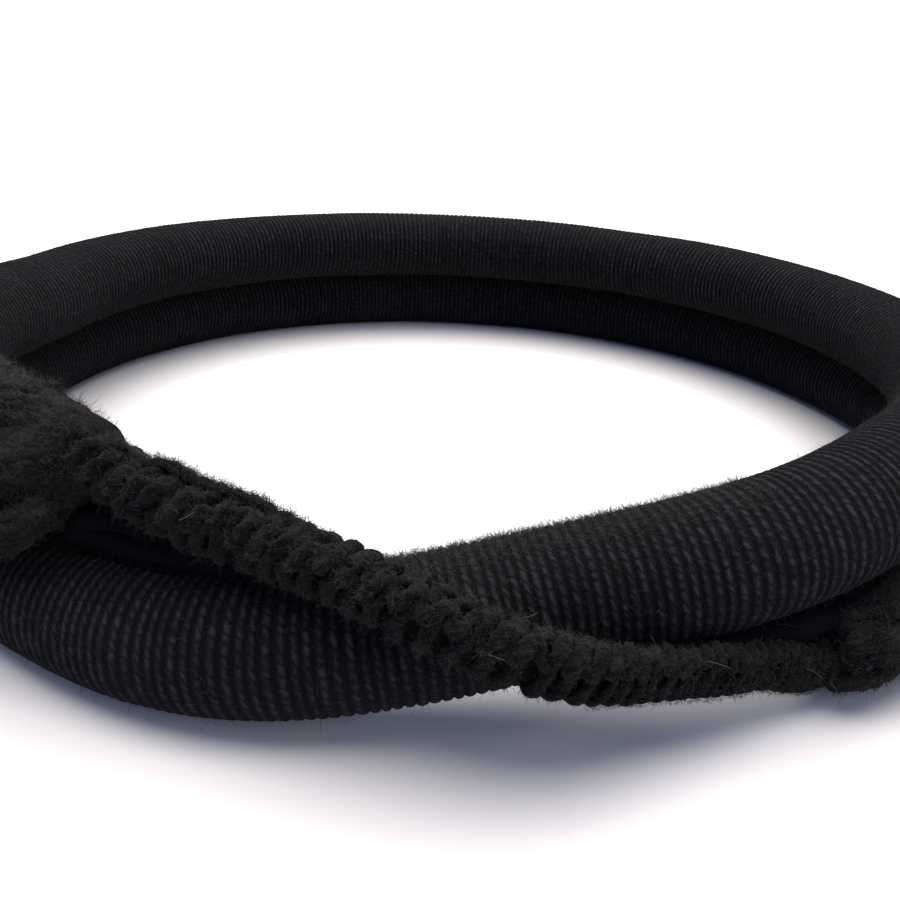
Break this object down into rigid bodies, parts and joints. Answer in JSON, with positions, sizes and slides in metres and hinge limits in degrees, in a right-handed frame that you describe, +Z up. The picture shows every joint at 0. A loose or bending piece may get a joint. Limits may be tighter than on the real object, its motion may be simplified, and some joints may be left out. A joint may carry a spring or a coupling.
{
  "type": "igal head cord",
  "caption": "Black wound cord ring in two stacked turns, its wrapped ends joined across the front by a thinner stitched link; worn over a headcloth.",
  "frame": {"origin": "middle of the ring, on the surface that it lies on", "axes": "+Z up, through the two turns; the front, where the ends are joined, faces -Y"},
  "size_m": [0.2038, 0.2044, 0.035],
  "materials": {
    "wound_yarn": "fine black yarn wound closely round a padded core, slightly hairy",
    "stitched_yarn": "black wool yarn in close looped stitches, matt and fuzzy",
    "wrapped_yarn": "coarse black wool yarn, wrapped and stitched over, fuzzy"
  },
  "bodies": {
    "root": {"wound_cord": "wound_yarn", "stitched_link": "stitched_yarn", "upper_end_cap": "wrapped_yarn", "lower_end_cap": "wrapped_yarn"}
  },
  "joints": []
}
